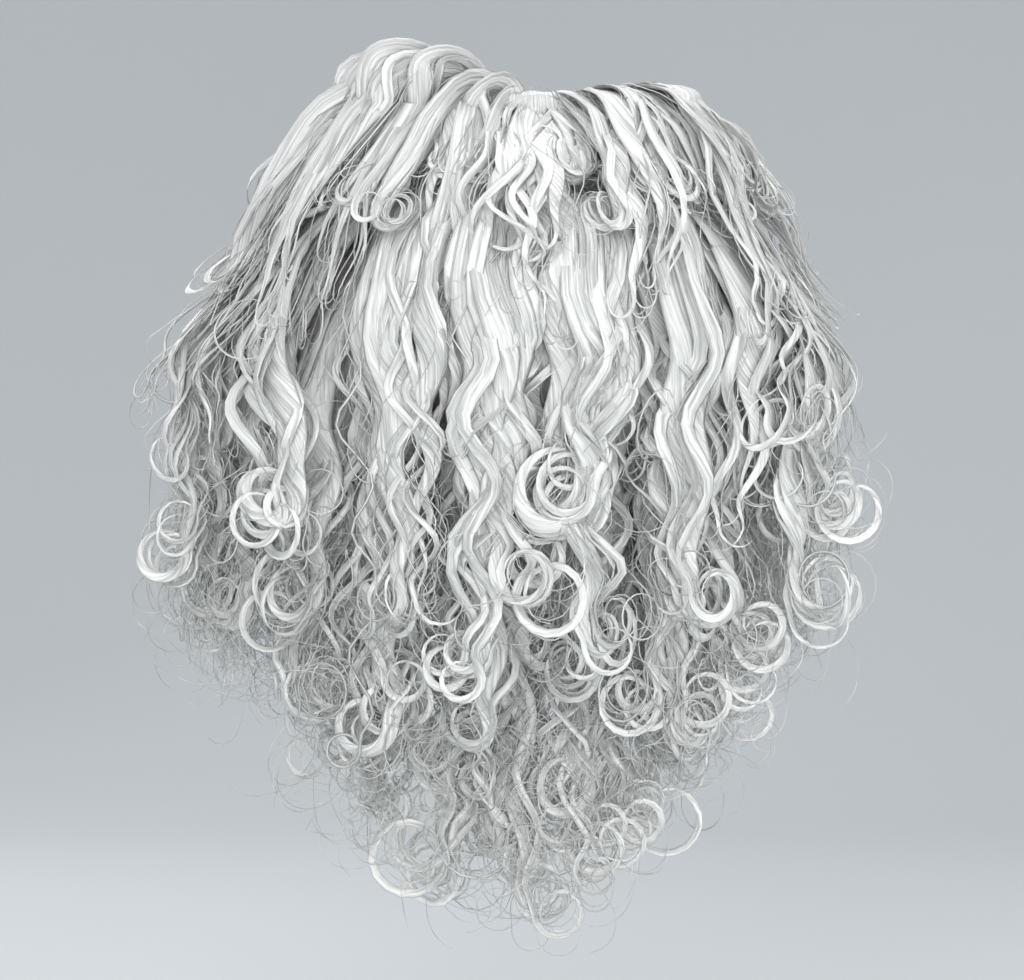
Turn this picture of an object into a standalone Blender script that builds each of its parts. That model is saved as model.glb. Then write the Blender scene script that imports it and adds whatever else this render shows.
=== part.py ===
# Fake beard: a cloth face piece with three tiers of curled locks, a moustache
# and an elastic strap that goes round the back of the head. Metres, +Z up.
# The beard faces -Y, and the origin is the middle of the upper lip.
import math

import bmesh
import bpy
from mathutils import Vector

# Face piece, a cloth shell that wraps the lip, cheeks and jaw
CLOTH = 0.002
FACE_HALF_WIDTH = 0.073
FACE_DEPTH = 0.100
FACE_ARC = math.radians(100)
LIP_EDGE_RISE = 0.002
EAR_EDGE_RISE = 0.018
CHIN_DROP = 0.078
JAW_END_DROP = 0.050
CHIN_TUCK = 0.008
TUCK_LENGTH = 0.034
MOUTH_WIDTH = 0.050
MOUTH_HEIGHT = 0.011
MOUTH_DROP = 0.020
FACE_COLUMNS = 26
FACE_ROWS = 5

# Wefts, the sewn strips that the locks hang from
WEFT_HEIGHT = 0.009
WEFT_THICKNESS = 0.002
WEFT_MARGIN = 0.008
WEFT_STEP = 0.0175
GAP = 0.0003

# Fall of the hair, in front of the chest
BEARD_DROP = 0.432
SIDE_DROP = 0.246
TAPER_POWER = 1.5
FALL_START = 0.050
WIDEST_DROP = 0.222
LEFT_REACH = 0.152
RIGHT_REACH = 0.132
FALL_ARC = math.radians(48)
CHEST_SETBACK = 0.028
SIDE_DEPTH = 0.052

# Locks
ROOT_RADIUS = 0.0018
LOCK_RADIUS = 0.0120
LOCK_FILL = 0.42
TIP_FILL = 0.12
SWELL_LENGTH = 0.062
TAPER_LENGTH = 0.095
LAYER_GAP = 0.0040
WAVE_LENGTH = 0.098
WAVE_WIDTH = 0.009
CURL_FILL = 0.28
CURL_ANGLE = math.radians(215)
CURL_LENGTH = 0.045
CURL_STEPS = 6
LOCK_STEP = 0.021
UNEVEN_DROP = 0.024
GOLDEN = 0.618034

# Steps over which the surface's slopes are measured
SIDE_STEP = 0.005
HEIGHT_STEP = 0.001

# Moustache, a short tier along the top edge
MOUSTACHE_DROP = 0.048
MOUSTACHE_END_DROP = 0.036
MOUSTACHE_STAND = 0.022
STAND_LENGTH = 0.018
MOUSTACHE_STEP = 0.009
MOUSTACHE_SWELL = 0.034
LEFT_PUFF = 0.028
RIGHT_PUFF = 0.012

# Elastic strap
STRAP_WIDTH = 0.014
STRAP_THICKNESS = 0.0012
STRAP_LAP = 0.018
STRAP_HEIGHT = -0.004
HEAD_BACK = 0.192
STRAP_COLUMNS = 15
LAP_COLUMNS = 2

# Rows of tiers from the innermost out: the span is the share of the face
# piece that the weft covers, the spread that of the fall that its locks reach,
# middle and side are shares of the beard's drops, rise is how steeply the
# locks leave the face, and puff says which tier rises above its roots first.
TIERS = (
    {"name": "chin_locks", "locks": 11, "span": 0.62, "spread": 0.92,
     "middle": 1.00, "side": 1.04, "rise": 0.25, "puff": 0.0},
    {"name": "jaw_locks", "locks": 11, "span": 0.80, "spread": 0.94,
     "middle": 0.83, "side": 1.02, "rise": 0.56, "puff": 0.0},
    {"name": "cheek_locks", "locks": 13, "span": 0.93, "spread": 0.96,
     "middle": 0.66, "side": 0.96, "rise": 1.0, "puff": 0.0},
)
MOUSTACHE = {"name": "moustache", "locks": 13, "span": 0.93, "spread": 0.95,
             "middle": MOUSTACHE_DROP / BEARD_DROP, "side": MOUSTACHE_END_DROP / SIDE_DROP,
             "rise": 0.62, "puff": 1.0}


def ease(value):
    value = min(max(value, 0.0), 1.0)
    return value * value * (3.0 - 2.0 * value)


def mix(low, high, share):
    return low + (high - low) * share


def top_edge(side):
    return mix(LIP_EDGE_RISE, EAR_EDGE_RISE, ease(abs(side)))


def bottom_edge(side):
    return -mix(CHIN_DROP, JAW_END_DROP, min(abs(side), 1.0) ** 2)


def inner_surface(side, height):
    """Point on the inside of the beard, side running from -1 at the left ear to 1."""
    drop = -height
    fall = ease((drop - FALL_START) / (WIDEST_DROP - FALL_START))
    reach = LEFT_REACH if side < 0 else RIGHT_REACH
    arc = mix(FACE_ARC, FALL_ARC, fall)
    radius = mix(FACE_HALF_WIDTH, reach / math.sin(FALL_ARC), fall)
    tuck = CHIN_TUCK * min(max((drop - CHIN_DROP) / TUCK_LENGTH + 1.0, 0.0), 1.0) ** 2
    setback = (CHEST_SETBACK - CHIN_TUCK) * ease((drop - CHIN_DROP) / (WIDEST_DROP - CHIN_DROP))
    depth = mix(FACE_DEPTH, SIDE_DEPTH, fall)
    turn = (1.0 - math.cos(side * arc)) / (1.0 - math.cos(arc))
    return Vector((radius * math.sin(side * arc), tuck + setback + depth * turn, height))


def across(side, height):
    right = inner_surface(side + SIDE_STEP, height)
    return (right - inner_surface(side - SIDE_STEP, height)) / (2 * SIDE_STEP)


def outward(side, height):
    run = across(side, height)
    return Vector((run.y, -run.x, 0.0)).normalized()


def cloth_normal(side, height):
    down = inner_surface(side, height - HEIGHT_STEP) - inner_surface(side, height + HEIGHT_STEP)
    return down.cross(across(side, height)).normalized()


def material(name, colour, roughness):
    made = bpy.data.materials.new(name)
    made.use_nodes = True
    shader = made.node_tree.nodes["Principled BSDF"]
    shader.inputs["Base Color"].default_value = (*colour, 1.0)
    shader.inputs["Roughness"].default_value = roughness
    shader.inputs["Metallic"].default_value = 0.0
    return made


def collection(name, parent):
    made = bpy.data.collections.new(name)
    parent.children.link(made)
    return made


def move_to(target, owner):
    for holder in list(target.users_collection):
        holder.objects.unlink(target)
    owner.objects.link(target)


def bent_sheet(name, columns, rows, place, thickness, owner):
    """Grid whose columns run left to right and rows bottom to top, made thick outwards."""
    bpy.ops.mesh.primitive_grid_add(x_subdivisions=columns, y_subdivisions=rows, size=2.0)
    sheet = bpy.context.object
    sheet.name = name
    sheet.data.name = name
    for vertex in sheet.data.vertices:
        vertex.co = place(vertex.co.x, vertex.co.y)
    solidify = sheet.modifiers.new("thickness", "SOLIDIFY")
    solidify.thickness = thickness
    solidify.offset = 1.0
    solidify.use_even_offset = True
    move_to(sheet, owner)
    return sheet


def make_cutter(target, owner):
    target.hide_render = True
    target.display_type = "WIRE"
    move_to(target, owner)


def tube(name, points, radii, owner):
    """Round lock along the points, closed at both ends, as a mesh."""
    curve = bpy.data.curves.new(name, "CURVE")
    curve.dimensions = "3D"
    curve.bevel_depth = 1.0
    curve.bevel_resolution = 1
    curve.use_fill_caps = True
    spline = curve.splines.new("POLY")
    spline.points.add(len(points) - 1)
    for point, place, radius in zip(spline.points, points, radii):
        point.co = (*place, 1.0)
        point.radius = radius
    guide = bpy.data.objects.new(name, curve)
    owner.objects.link(guide)
    graph = bpy.context.evaluated_depsgraph_get()
    mesh = bpy.data.meshes.new_from_object(guide.evaluated_get(graph))
    bpy.data.objects.remove(guide)
    shape = bmesh.new()
    shape.from_mesh(mesh)
    bmesh.ops.remove_doubles(shape, verts=shape.verts, dist=0.00001)
    bmesh.ops.recalc_face_normals(shape, faces=shape.faces)
    shape.to_mesh(mesh)
    shape.free()
    solid = bpy.data.objects.new(name, mesh)
    owner.objects.link(solid)
    make_cutter(solid, owner)
    return solid


def weft_height(row, level, side):
    """Middle of a tier's weft, the tiers below the mouth following the lower edge."""
    side = min(max(side, -1.0), 1.0)
    if row is MOUSTACHE:
        return top_edge(side) - WEFT_MARGIN
    return bottom_edge(side) + WEFT_MARGIN + level * WEFT_STEP


def hair_point(row, level, side, height, stand):
    """Point on the surface that a tier's locks follow, which leaves the face below its weft."""
    below = max(weft_height(row, level, side) - height, 0.0)
    root = CLOTH + GAP + WEFT_THICKNESS / 2 + ROOT_RADIUS / 2
    full = LOCK_RADIUS + GAP + level * (2.0 * LOCK_RADIUS + LAYER_GAP)
    offset = min(root + row["rise"] * below, full) + stand
    return inner_surface(side, height) + outward(side, height) * offset


def side_scale(row, level, side, height, stand):
    """Metres along a tier's surface for each unit of side."""
    right = hair_point(row, level, side + SIDE_STEP, height, stand)
    left = hair_point(row, level, side - SIDE_STEP, height, stand)
    return (right - left).length / (2 * SIDE_STEP)


def lock_stations(row, root_side, tip_side, start, length, hand, puff):
    """Steps along one lock. Lead and dip, the ring curl's sideways and downward
    parts, are shares of the room between two locks."""
    step = MOUSTACHE_STEP if row is MOUSTACHE else LOCK_STEP
    stations = []
    for run in [step * count for count in range(int(length / step))] + [length]:
        share = run / length
        height = start - run + puff * math.sin(math.pi * min(2.0 * share, 1.0))
        wave = WAVE_WIDTH * ease(run / SWELL_LENGTH) * math.sin(math.tau * height / WAVE_LENGTH)
        stations.append({
            "run": run, "height": height, "wave": wave, "dip": 0.0,
            "side": mix(root_side, tip_side, ease(share)),
            "room": 2.0 * mix(row["span"], row["spread"], ease(share)) / row["locks"],
            "lead": hand * CURL_FILL * ease(1.0 - (length - run) / CURL_LENGTH)})
    last = stations[-1]
    for count in range(1, CURL_STEPS + 1):
        turn = CURL_ANGLE * count / CURL_STEPS
        stations.append({
            **last, "run": length + CURL_LENGTH * count / CURL_STEPS,
            "lead": hand * CURL_FILL * math.cos(turn), "dip": CURL_FILL * math.sin(turn)})
    return stations


def lock_shape(row, level, root_side, tip_side, tip_drop, hand, puff):
    """Centre line and radii of one lock: root, waves, and a ring curl at its end."""
    start = weft_height(row, level, root_side)
    length = start + tip_drop
    swell_length = MOUSTACHE_SWELL if row is MOUSTACHE else SWELL_LENGTH
    points = []
    radii = []
    for at in lock_stations(row, root_side, tip_side, start, length, hand, puff):
        stand = row["puff"] * MOUSTACHE_STAND * ease(at["run"] / STAND_LENGTH)
        scale = side_scale(row, level, at["side"], at["height"], stand)
        room = scale * at["room"]
        side = at["side"] + (at["wave"] - at["lead"] * room) / scale
        points.append(hair_point(row, level, side, at["height"] - at["dip"] * room, stand))
        swell = ROOT_RADIUS + (LOCK_RADIUS - ROOT_RADIUS) * at["run"] / swell_length
        left = length + CURL_LENGTH - at["run"]
        taper = mix(TIP_FILL * room, LOCK_RADIUS, ease(left / TAPER_LENGTH))
        radii.append(min(swell, taper, LOCK_FILL * room))
    return points, radii


def add_tier(row, level, owner, cutters, hair):
    """Weft strip with its locks fused to it."""
    columns = 2 * round(row["span"] * FACE_COLUMNS / 2)
    span = columns / FACE_COLUMNS

    def place(across_share, up_share):
        side = across_share * span
        height = weft_height(row, level, side) + up_share * WEFT_HEIGHT / 2
        return inner_surface(side, height) + cloth_normal(side, height) * (CLOTH + GAP)

    weft = bent_sheet(row["name"], columns, 1, place, WEFT_THICKNESS, owner)
    locks = collection(row["name"] + "_cutters", cutters)
    count = row["locks"]
    for index in range(count):
        share = (2.0 * index + 1.0) / count - 1.0
        chance = (index * GOLDEN) % 1.0
        side_drop = SIDE_DROP * row["side"]
        keep = 1.0 - abs(share) ** TAPER_POWER
        tip_drop = mix(side_drop, BEARD_DROP * row["middle"], keep) - UNEVEN_DROP * chance * row["middle"]
        puff = row["puff"] * ease(2.0 * abs(share)) * (LEFT_PUFF if share < 0 else RIGHT_PUFF)
        points, radii = lock_shape(row, level, share * span, share * row["spread"], tip_drop,
                                   1.0 if share < 0 else -1.0, puff)
        tube(f"{row['name']}_{index}", points, radii, locks)
    union = weft.modifiers.new("locks", "BOOLEAN")
    union.operation = "UNION"
    union.solver = "EXACT"
    union.operand_type = "COLLECTION"
    union.collection = locks
    weft.data.materials.append(hair)
    return weft


def add_face_piece(owner, cutters, cloth):
    def place(across_share, up_share):
        height = mix(bottom_edge(across_share), top_edge(across_share), (up_share + 1.0) / 2)
        return inner_surface(across_share, height)

    shell = bent_sheet("face_piece", FACE_COLUMNS, FACE_ROWS, place, CLOTH, owner)
    bpy.ops.mesh.primitive_cylinder_add(vertices=16, radius=0.5, depth=6 * CLOTH + CHIN_TUCK,
                                        rotation=(math.pi / 2, 0, 0))
    slot = bpy.context.object
    slot.name = "mouth_slot"
    slot.scale = (MOUTH_WIDTH, MOUTH_HEIGHT, 1.0)
    slot.location = (0.0, 0.0, -MOUTH_DROP)
    make_cutter(slot, cutters)
    cut = shell.modifiers.new("mouth", "BOOLEAN")
    cut.operation = "DIFFERENCE"
    cut.solver = "EXACT"
    cut.object = slot
    shell.data.materials.append(cloth)
    return shell


def add_strap(owner, elastic):
    """Flat loop from inside one end of the face piece round the head to the other."""
    lap_share = STRAP_LAP / across(1.0, STRAP_HEIGHT).length
    corner = inner_surface(1.0, STRAP_HEIGHT) - outward(1.0, STRAP_HEIGHT) * GAP

    def loop(share):
        hand = 1.0 if share > 0 else -1.0
        lap = 1.0 - (1.0 - abs(share)) * STRAP_COLUMNS / LAP_COLUMNS
        if lap > 0:
            side = hand * (1.0 - lap_share * lap)
            return inner_surface(side, STRAP_HEIGHT) - outward(side, STRAP_HEIGHT) * GAP
        turn = -lap * LAP_COLUMNS / (STRAP_COLUMNS - LAP_COLUMNS) * math.pi / 2
        reach = HEAD_BACK - corner.y
        return Vector((hand * corner.x * math.cos(turn), corner.y + reach * math.sin(turn), STRAP_HEIGHT))

    def place(across_share, up_share):
        return loop(across_share) + Vector((0, 0, up_share * STRAP_WIDTH / 2))

    strap = bent_sheet("elastic_strap", 2 * STRAP_COLUMNS, 1, place, STRAP_THICKNESS, owner)
    strap.data.materials.append(elastic)
    return strap


def main():
    for old in list(bpy.data.objects):
        bpy.data.objects.remove(old)
    beard = collection("fake_beard", bpy.context.scene.collection)
    cutters = collection("cutters", bpy.context.scene.collection)
    cloth = material("white_backing_cloth", (0.78, 0.78, 0.76), 0.85)
    hair = material("white_synthetic_hair", (0.62, 0.63, 0.61), 0.4)
    elastic = material("white_elastic", (0.80, 0.80, 0.78), 0.8)
    add_face_piece(beard, cutters, cloth)
    for level, row in enumerate(TIERS):
        add_tier(row, level, beard, cutters, hair)
    add_tier(MOUSTACHE, len(TIERS), beard, cutters, hair)
    add_strap(beard, elastic)


main()
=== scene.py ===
import math

import bpy
import numpy as np
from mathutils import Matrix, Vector


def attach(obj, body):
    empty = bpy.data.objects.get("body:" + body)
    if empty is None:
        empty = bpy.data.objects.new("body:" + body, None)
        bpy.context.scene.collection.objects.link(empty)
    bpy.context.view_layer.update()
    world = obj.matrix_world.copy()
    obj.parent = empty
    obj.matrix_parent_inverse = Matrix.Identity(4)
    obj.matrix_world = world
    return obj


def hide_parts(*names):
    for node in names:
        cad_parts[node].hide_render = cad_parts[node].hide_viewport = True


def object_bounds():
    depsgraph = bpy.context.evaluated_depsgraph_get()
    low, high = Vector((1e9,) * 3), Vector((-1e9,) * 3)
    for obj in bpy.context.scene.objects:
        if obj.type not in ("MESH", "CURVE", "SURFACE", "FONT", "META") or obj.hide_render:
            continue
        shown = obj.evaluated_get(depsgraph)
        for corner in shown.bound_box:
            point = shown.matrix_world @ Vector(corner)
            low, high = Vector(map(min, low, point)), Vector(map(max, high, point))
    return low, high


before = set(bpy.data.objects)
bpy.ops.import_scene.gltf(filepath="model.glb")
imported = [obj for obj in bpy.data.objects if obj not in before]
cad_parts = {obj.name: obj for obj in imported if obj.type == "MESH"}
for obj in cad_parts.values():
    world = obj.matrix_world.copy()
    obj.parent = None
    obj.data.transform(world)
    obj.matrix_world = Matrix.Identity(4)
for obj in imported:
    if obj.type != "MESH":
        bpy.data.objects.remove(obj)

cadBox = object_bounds()
print("frame loaded:", sorted(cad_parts))

# Shared form of the beard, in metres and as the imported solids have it: side runs
# from -1 at the left end to 1 at the right one, height is 0 at the origin.
form = {
    "cloth": 0.002, "gap": 0.0003,
    "faceHalfWidth": 0.073, "faceDepth": 0.100, "faceArc": math.radians(100),
    "middleEdgeRise": 0.002, "endEdgeRise": 0.018, "chinDrop": 0.078, "jawEndDrop": 0.050,
    "chinTuck": 0.008, "tuckLength": 0.034,
    "fallStart": 0.050, "widestDrop": 0.222, "leftReach": 0.152, "rightReach": 0.132,
    "fallArc": math.radians(48), "lowSetback": 0.028, "sideDepth": 0.052,
    "beardDrop": 0.442, "sideDrop": 0.270, "taperPower": 1.5,
    "weftMargin": 0.008, "weftStep": 0.0175, "weftHeight": 0.009, "weftThick": 0.002, "weftPlaces": 91,
    "layerStep": 0.028, "firstLayer": 0.0123, "rootOffset": 0.0042,
}


def ease(value):
    value = np.clip(value, 0.0, 1.0)
    return value * value * (3.0 - 2.0 * value)


def mix(low, high, share):
    return low + (high - low) * share


def unit(vectors):
    return vectors / np.maximum(np.linalg.norm(vectors, axis=-1, keepdims=True), 1e-9)


def topEdge(side):
    return mix(form["middleEdgeRise"], form["endEdgeRise"], ease(np.abs(side)))


def bottomEdge(side):
    return -mix(form["chinDrop"], form["jawEndDrop"], np.minimum(np.abs(side), 1.0) ** 2)


def innerSurface(side, height):
    drop = -height
    fall = ease((drop - form["fallStart"]) / (form["widestDrop"] - form["fallStart"]))
    reach = np.where(side < 0, form["leftReach"], form["rightReach"])
    arc = mix(form["faceArc"], form["fallArc"], fall)
    radius = mix(form["faceHalfWidth"], reach / math.sin(form["fallArc"]), fall)
    tuck = form["chinTuck"] * np.clip((drop - form["chinDrop"]) / form["tuckLength"] + 1, 0, 1) ** 2
    setback = (form["lowSetback"] - form["chinTuck"]) * ease(
        (drop - form["chinDrop"]) / (form["widestDrop"] - form["chinDrop"]))
    depth = mix(form["faceDepth"], form["sideDepth"], fall)
    turn = (1 - np.cos(side * arc)) / (1 - np.cos(arc))
    return np.stack([radius * np.sin(side * arc), tuck + setback + depth * turn, height + 0 * side], -1)


def acrossUnit(side, height):  # level, along the surface towards the right end
    return unit(innerSurface(side + 0.005, height) - innerSurface(side - 0.005, height))


def outwardUnit(side, height):  # level, away from the inside
    run = acrossUnit(side, height)
    return unit(np.stack([run[..., 1], -run[..., 0], 0 * run[..., 0]], -1))


# Tiers of hair from the innermost out, each on its own weft. middle and side are shares
# of the beard's drop, rise is how steeply the hair leaves the weft, outer crowds the
# locks towards the ends, and seen is the height above which the tier is hidden and plain.
tiers = {
    "chin": {
        "node": "chin_locks", "level": 0, "outer": 0.85, "span": 0.62, "spread": 0.92,
        "middle": 1.0, "side": 1.0, "rise": 0.35, "clumps": 46, "shortest": 0.60,
        "wave": 0.0092, "waveStart": 0.05, "waveSpan": 0.11, "combed": 0.0,
        "seen": -0.24, "detail": 1.0, "broad": 0.85, "strand": 7, "seed": 11,
    },
    "jaw": {
        "node": "jaw_locks", "level": 1, "outer": 0.80, "span": 0.80, "spread": 0.97,
        "middle": 0.86, "side": 1.10, "rise": 0.8, "clumps": 46, "shortest": 0.62,
        "wave": 0.0092, "waveStart": 0.05, "waveSpan": 0.11, "combed": 0.0,
        "seen": -0.15, "detail": 1.0, "broad": 0.9, "strand": 7, "seed": 12,
    },
    "cheek": {
        "node": "cheek_locks", "level": 2, "outer": 1.0, "span": 0.93, "spread": 0.97,
        "middle": 0.66, "side": 0.90, "rise": 1.7, "clumps": 50, "shortest": 0.45,
        "wave": 0.0085, "waveStart": 0.03, "waveSpan": 0.10, "combed": 0.0,
        "seen": 0.0, "detail": 0.97, "broad": 1.0, "strand": 6, "seed": 13,
    },
    "moustache": {
        "node": "moustache", "level": 3, "outer": 1.0, "span": 0.95, "spread": 0.98,
        "middle": 0.33, "side": 0.40, "rise": 0.8, "clumps": 74, "shortest": 0.26,
        "wave": 0.0075, "waveStart": 0.020, "waveSpan": 0.030, "combed": 0.012,
        "seen": 0.1, "detail": 0.73, "broad": 0.75, "strand": 5, "seed": 14,
    },
}

# What a lock is made of, in metres: a broad flat mass that narrows to its tip, satin
# ribbons that part from it lower down, strands that run along them, and stray fibres.
# loose is how far they part from the lock, swing their share of its wave.
kinds = {
    "mass": {
        "each": 1, "sideways": 0.003, "deep": 0.0015, "loose": 0.08, "swing": 0.5, "steps": 56,
        "rootWidth": 0.029, "tipWidth": 0.0085, "rootThick": 0.0036, "tipThick": 0.0016,
        "narrow": 0.85, "tip": 0.110, "ribs": 3,
    },
    "satin": {
        "each": 2, "sideways": 0.0075, "deep": 0.0040, "loose": 0.45, "swing": 1.0, "steps": 46,
        "rootWidth": 0.0080, "tipWidth": 0.0034, "rootThick": 0.0007, "tipThick": 0.0007,
        "narrow": 1.0, "tip": 0.060, "ribs": 2,
    },
    "strand": {
        "sideways": 0.0090, "deep": 0.0034, "loose": 0.36, "swing": 0.9, "steps": 44, "width": 0.0009,
    },
    "stray": {
        "each": 1, "sideways": 0.0090, "deep": 0.0070, "loose": 0.65, "swing": 1.0, "steps": 40,
        "width": 0.0007,
    },
}

# Curls that the eye finds first, in millimetres across and up, with the ring's radius
# and the side it hangs to.
bigCurls = {
    "moustache": [(3, -29, 9, 1), (-77, -46, 11, -1), (60, -40, 9, 1), (-36, -34, 9, -1),
                  (-146, -82, 11, -1), (-128, -52, 11, -1), (-100, -20, 11, -1), (118, -44, 10, 1),
                  (36, -62, 10, -1), (-52, -60, 10, 1)],
    "cheek": [(16, -209, 24, -1), (14, -209, 20, -1), (12, -256, 17, 1), (-69, -262, 12, -1),
              (160, -262, 18, 1), (163, -215, 15, 1), (152, -167, 14, 1), (-186, -240, 13, -1),
              (53, -285, 15, 1), (-30, -296, 12, -1), (-132, -215, 14, -1), (98, -268, 14, 1)],
    "jaw": [(-122, -262, 15, -1), (122, -286, 14, 1), (22, -300, 14, -1), (-60, -312, 13, 1),
            (-132, -308, 13, -1), (-82, -338, 15, -1), (94, -336, 15, 1), (117, -312, 13, 1),
            (-28, -330, 12, -1), (60, -318, 13, -1), (-160, -268, 13, -1)],
    "chin": [(-100, -338, 13, -1), (86, -346, 13, 1), (24, -378, 14, -1), (-38, -356, 13, 1),
             (-53, -404, 17, -1), (40, -404, 13, 1), (14, -428, 13, 1), (64, -372, 13, 1),
             (-20, -392, 12, -1), (-84, -366, 13, -1), (-2, -360, 12, 1)],
}

hair = {
    "fineSteps": 200,  # places on a line before it is thinned out
    "stepLength": 0.028, "stepTurn": 0.3,  # run or turn that earns a line one more place
    "facing": 0.25,  # how firmly a ribbon's flat side is kept outwards
    "hiddenWeight": 0.25, "hiddenLead": 0.04, "hiddenSpan": 0.05,  # fewer places where hidden
    "closest": 0.0035,  # least distance from the inner surface
    "shortest": 0.02,
}

# Ranges of the values that every lock draws for itself
lockRanges = {
    "place": (-0.35, 0.35), "tipSide": (-0.04, 0.04), "lengthPower": 0.55,
    "front": (-0.010, 0.010), "width": (0.7, 1.2), "tilt": (-0.75, 0.75), "puff": (0.88, 1.0),
}

# Waves of a lock: small and long at the root, full lower down
waves = {
    "length": 0.057, "lengthRange": (0.85, 1.25), "sizeRange": (0.7, 1.3), "helix": 0.7,
    "phaseRun": 5.0, "phaseRange": (-1.5, 1.5),
    "rootLength": 1.7, "rootSize": 0.3, "hiddenSize": 0.15, "fadeIn": 0.03, "fadeOut": 0.02,
    "hiddenFade": 0.06, "gather": 0.55, "wanderStart": 0.08, "wanderLength": 0.035, "depthStart": 0.05,
}

# Curl at a lock's end: a ring that winds in by shrink, open for most locks
endCurl = {
    "ring": 0.0125, "ringRange": (0.65, 1.4), "moustacheRing": 0.66, "shrink": 0.32,
    "woundShare": 0.2, "woundTurns": (0.9, 1.2), "openTurns": (0.15, 0.6), "leastTurns": 0.2,
    "outwardFrom": 0.7, "bigTurns": 1.12, "bigFront": 0.010, "forward": 0.006, "weight": 1.3,
}

# The moustache's own form: rolled short locks among longer ones, rising over the cloth's
# edge, with the left half combed up and out from the middle
moustacheForm = {
    "rootDrop": 0.001, "rolledShare": 0.45, "rolledDrop": (0.034, 0.062), "rolledTurns": (0.7, 1.3),
    "sweptFrom": -0.1, "sweptShare": 0.8, "sweptReach": 0.62, "sweptStart": 0.10, "sweptPower": 1.7,
    "stand": 0.018, "sideStand": 0.018, "standFrom": 1.3, "standLength": 0.034, "standTip": 0.4,
    "leftPuff": 0.051, "rightPuff": 0.028, "puffLength": 0.110, "puffFrom": 2.6, "puffEnds": 0.7,
    "puffPeak": 6.75,  # brings the peak of x(1-x)^2 to 1
}

# Wander of each value within a lock: the least, and what looseness adds
wanders = {
    "length": (0.012, 0.07), "ring": (0.08, 0.26), "turns": (0.10, 0.3), "phase": (0.22, 1.1),
    "wave": (0.08, 0.35), "waveLength": (0.015, 0.12), "tipSide": (0.003, 0.045),
    "rootSide": (0.008, 0.02), "tilt": (0.10, 0.45), "wander": (0.001, 0.008),
    "otherHand": 0.3, "twist": (-0.6, 0.6),
}


def weftLine(tier, side):
    side = np.clip(side, -1, 1)
    if tier["level"] == 3:
        return topEdge(side) - form["weftMargin"]
    return bottomEdge(side) + form["weftMargin"] + tier["level"] * form["weftStep"]


# How far a tier's hair stands out from the surface, more below its weft.
def layerOffset(tier, side, height):
    below = np.maximum(weftLine(tier, side) - height, 0)
    full = form["firstLayer"] + tier["level"] * form["layerStep"] - form["rootOffset"]
    return form["rootOffset"] + full * (1 - np.exp(-tier["rise"] * below / full))


# Side at which a tier's surface is so far across at a height.
def sideAt(tier, across, height):
    sides = np.linspace(-1, 1, 401)
    heights = np.full(sides.shape, height)
    offset = layerOffset(tier, sides, heights)[:, None]
    reach = (innerSurface(sides, heights) + outwardUnit(sides, heights) * offset)[:, 0]
    return sides[np.argmin(np.abs(reach - across))]


# One value of everything for each lock of a tier, the big curls first.
def planClumps(name, tier, rng):
    count = tier["clumps"]
    isMoustache = tier["level"] == 3

    def between(limits):
        return rng.uniform(*limits, count)

    share = (np.arange(count) + 0.5 + between(lockRanges["place"])) / count * 2 - 1
    share = np.sign(share) * np.abs(share) ** tier["outer"]
    rng.shuffle(share)
    tipSide = share * tier["spread"] + between(lockRanges["tipSide"])
    keep = 1 - np.abs(share) ** form["taperPower"]
    drop = mix(form["sideDrop"] * tier["side"], form["beardDrop"] * tier["middle"], keep)
    drop = drop * mix(tier["shortest"], 1.0, between((0, 1)) ** lockRanges["lengthPower"])
    ring = endCurl["ring"] * between(endCurl["ringRange"])
    ring = ring * (endCurl["moustacheRing"] if isMoustache else 1.0)
    hand = np.where(between((0, 1)) < 0.5, -1.0, 1.0)
    hand = np.where(np.abs(share) > endCurl["outwardFrom"], np.sign(share), hand)
    isWound = between((0, 1)) < endCurl["woundShare"]
    turns = np.where(isWound, between(endCurl["woundTurns"]), between(endCurl["openTurns"]))
    if isMoustache:
        isRolled = between((0, 1)) < moustacheForm["rolledShare"]
        drop = np.where(isRolled, between(moustacheForm["rolledDrop"]), drop)
        turns = np.where(isRolled, between(moustacheForm["rolledTurns"]), turns)
    front = between(lockRanges["front"])
    for index, (across, up, radius, side) in enumerate(bigCurls[name]):
        radius, across, up = radius / 1000, across / 1000, up / 1000
        tipSide[index] = sideAt(tier, across - side * radius, up)
        share[index] = tipSide[index] / tier["spread"]
        drop[index], ring[index], hand[index] = radius - up, radius, side
        turns[index], front[index] = endCurl["bigTurns"], endCurl["bigFront"]
    rootSide = np.clip(share, -1, 1) * tier["span"]
    isSwept = np.zeros(count, bool)
    if isMoustache:
        isSwept = (share < moustacheForm["sweptFrom"]) & (between((0, 1)) < moustacheForm["sweptShare"])
        sweptSide = share * moustacheForm["sweptReach"] + moustacheForm["sweptStart"]
        rootSide = np.where(isSwept, sweptSide, rootSide)
        root = topEdge(rootSide) - moustacheForm["rootDrop"]
    else:
        root = weftLine(tier, rootSide)
    return {
        "rootSide": rootSide, "tipSide": tipSide, "root": root, "share": share,
        "length": np.maximum(root + drop - ring, hair["shortest"]),
        "ring": ring, "turns": turns, "hand": hand, "depth": front,
        "wave": tier["wave"] * between(waves["sizeRange"]),
        "waveLength": waves["length"] * between(waves["lengthRange"]),
        "phase": share * waves["phaseRun"] + between(waves["phaseRange"]),
        "width": between(lockRanges["width"]), "helix": hand * waves["helix"],
        "puff": between(lockRanges["puff"]), "tilt": between(lockRanges["tilt"]),
        "lateral": np.zeros(count), "wander": np.zeros(count), "sweep": isSwept.astype(float),
    }


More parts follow.
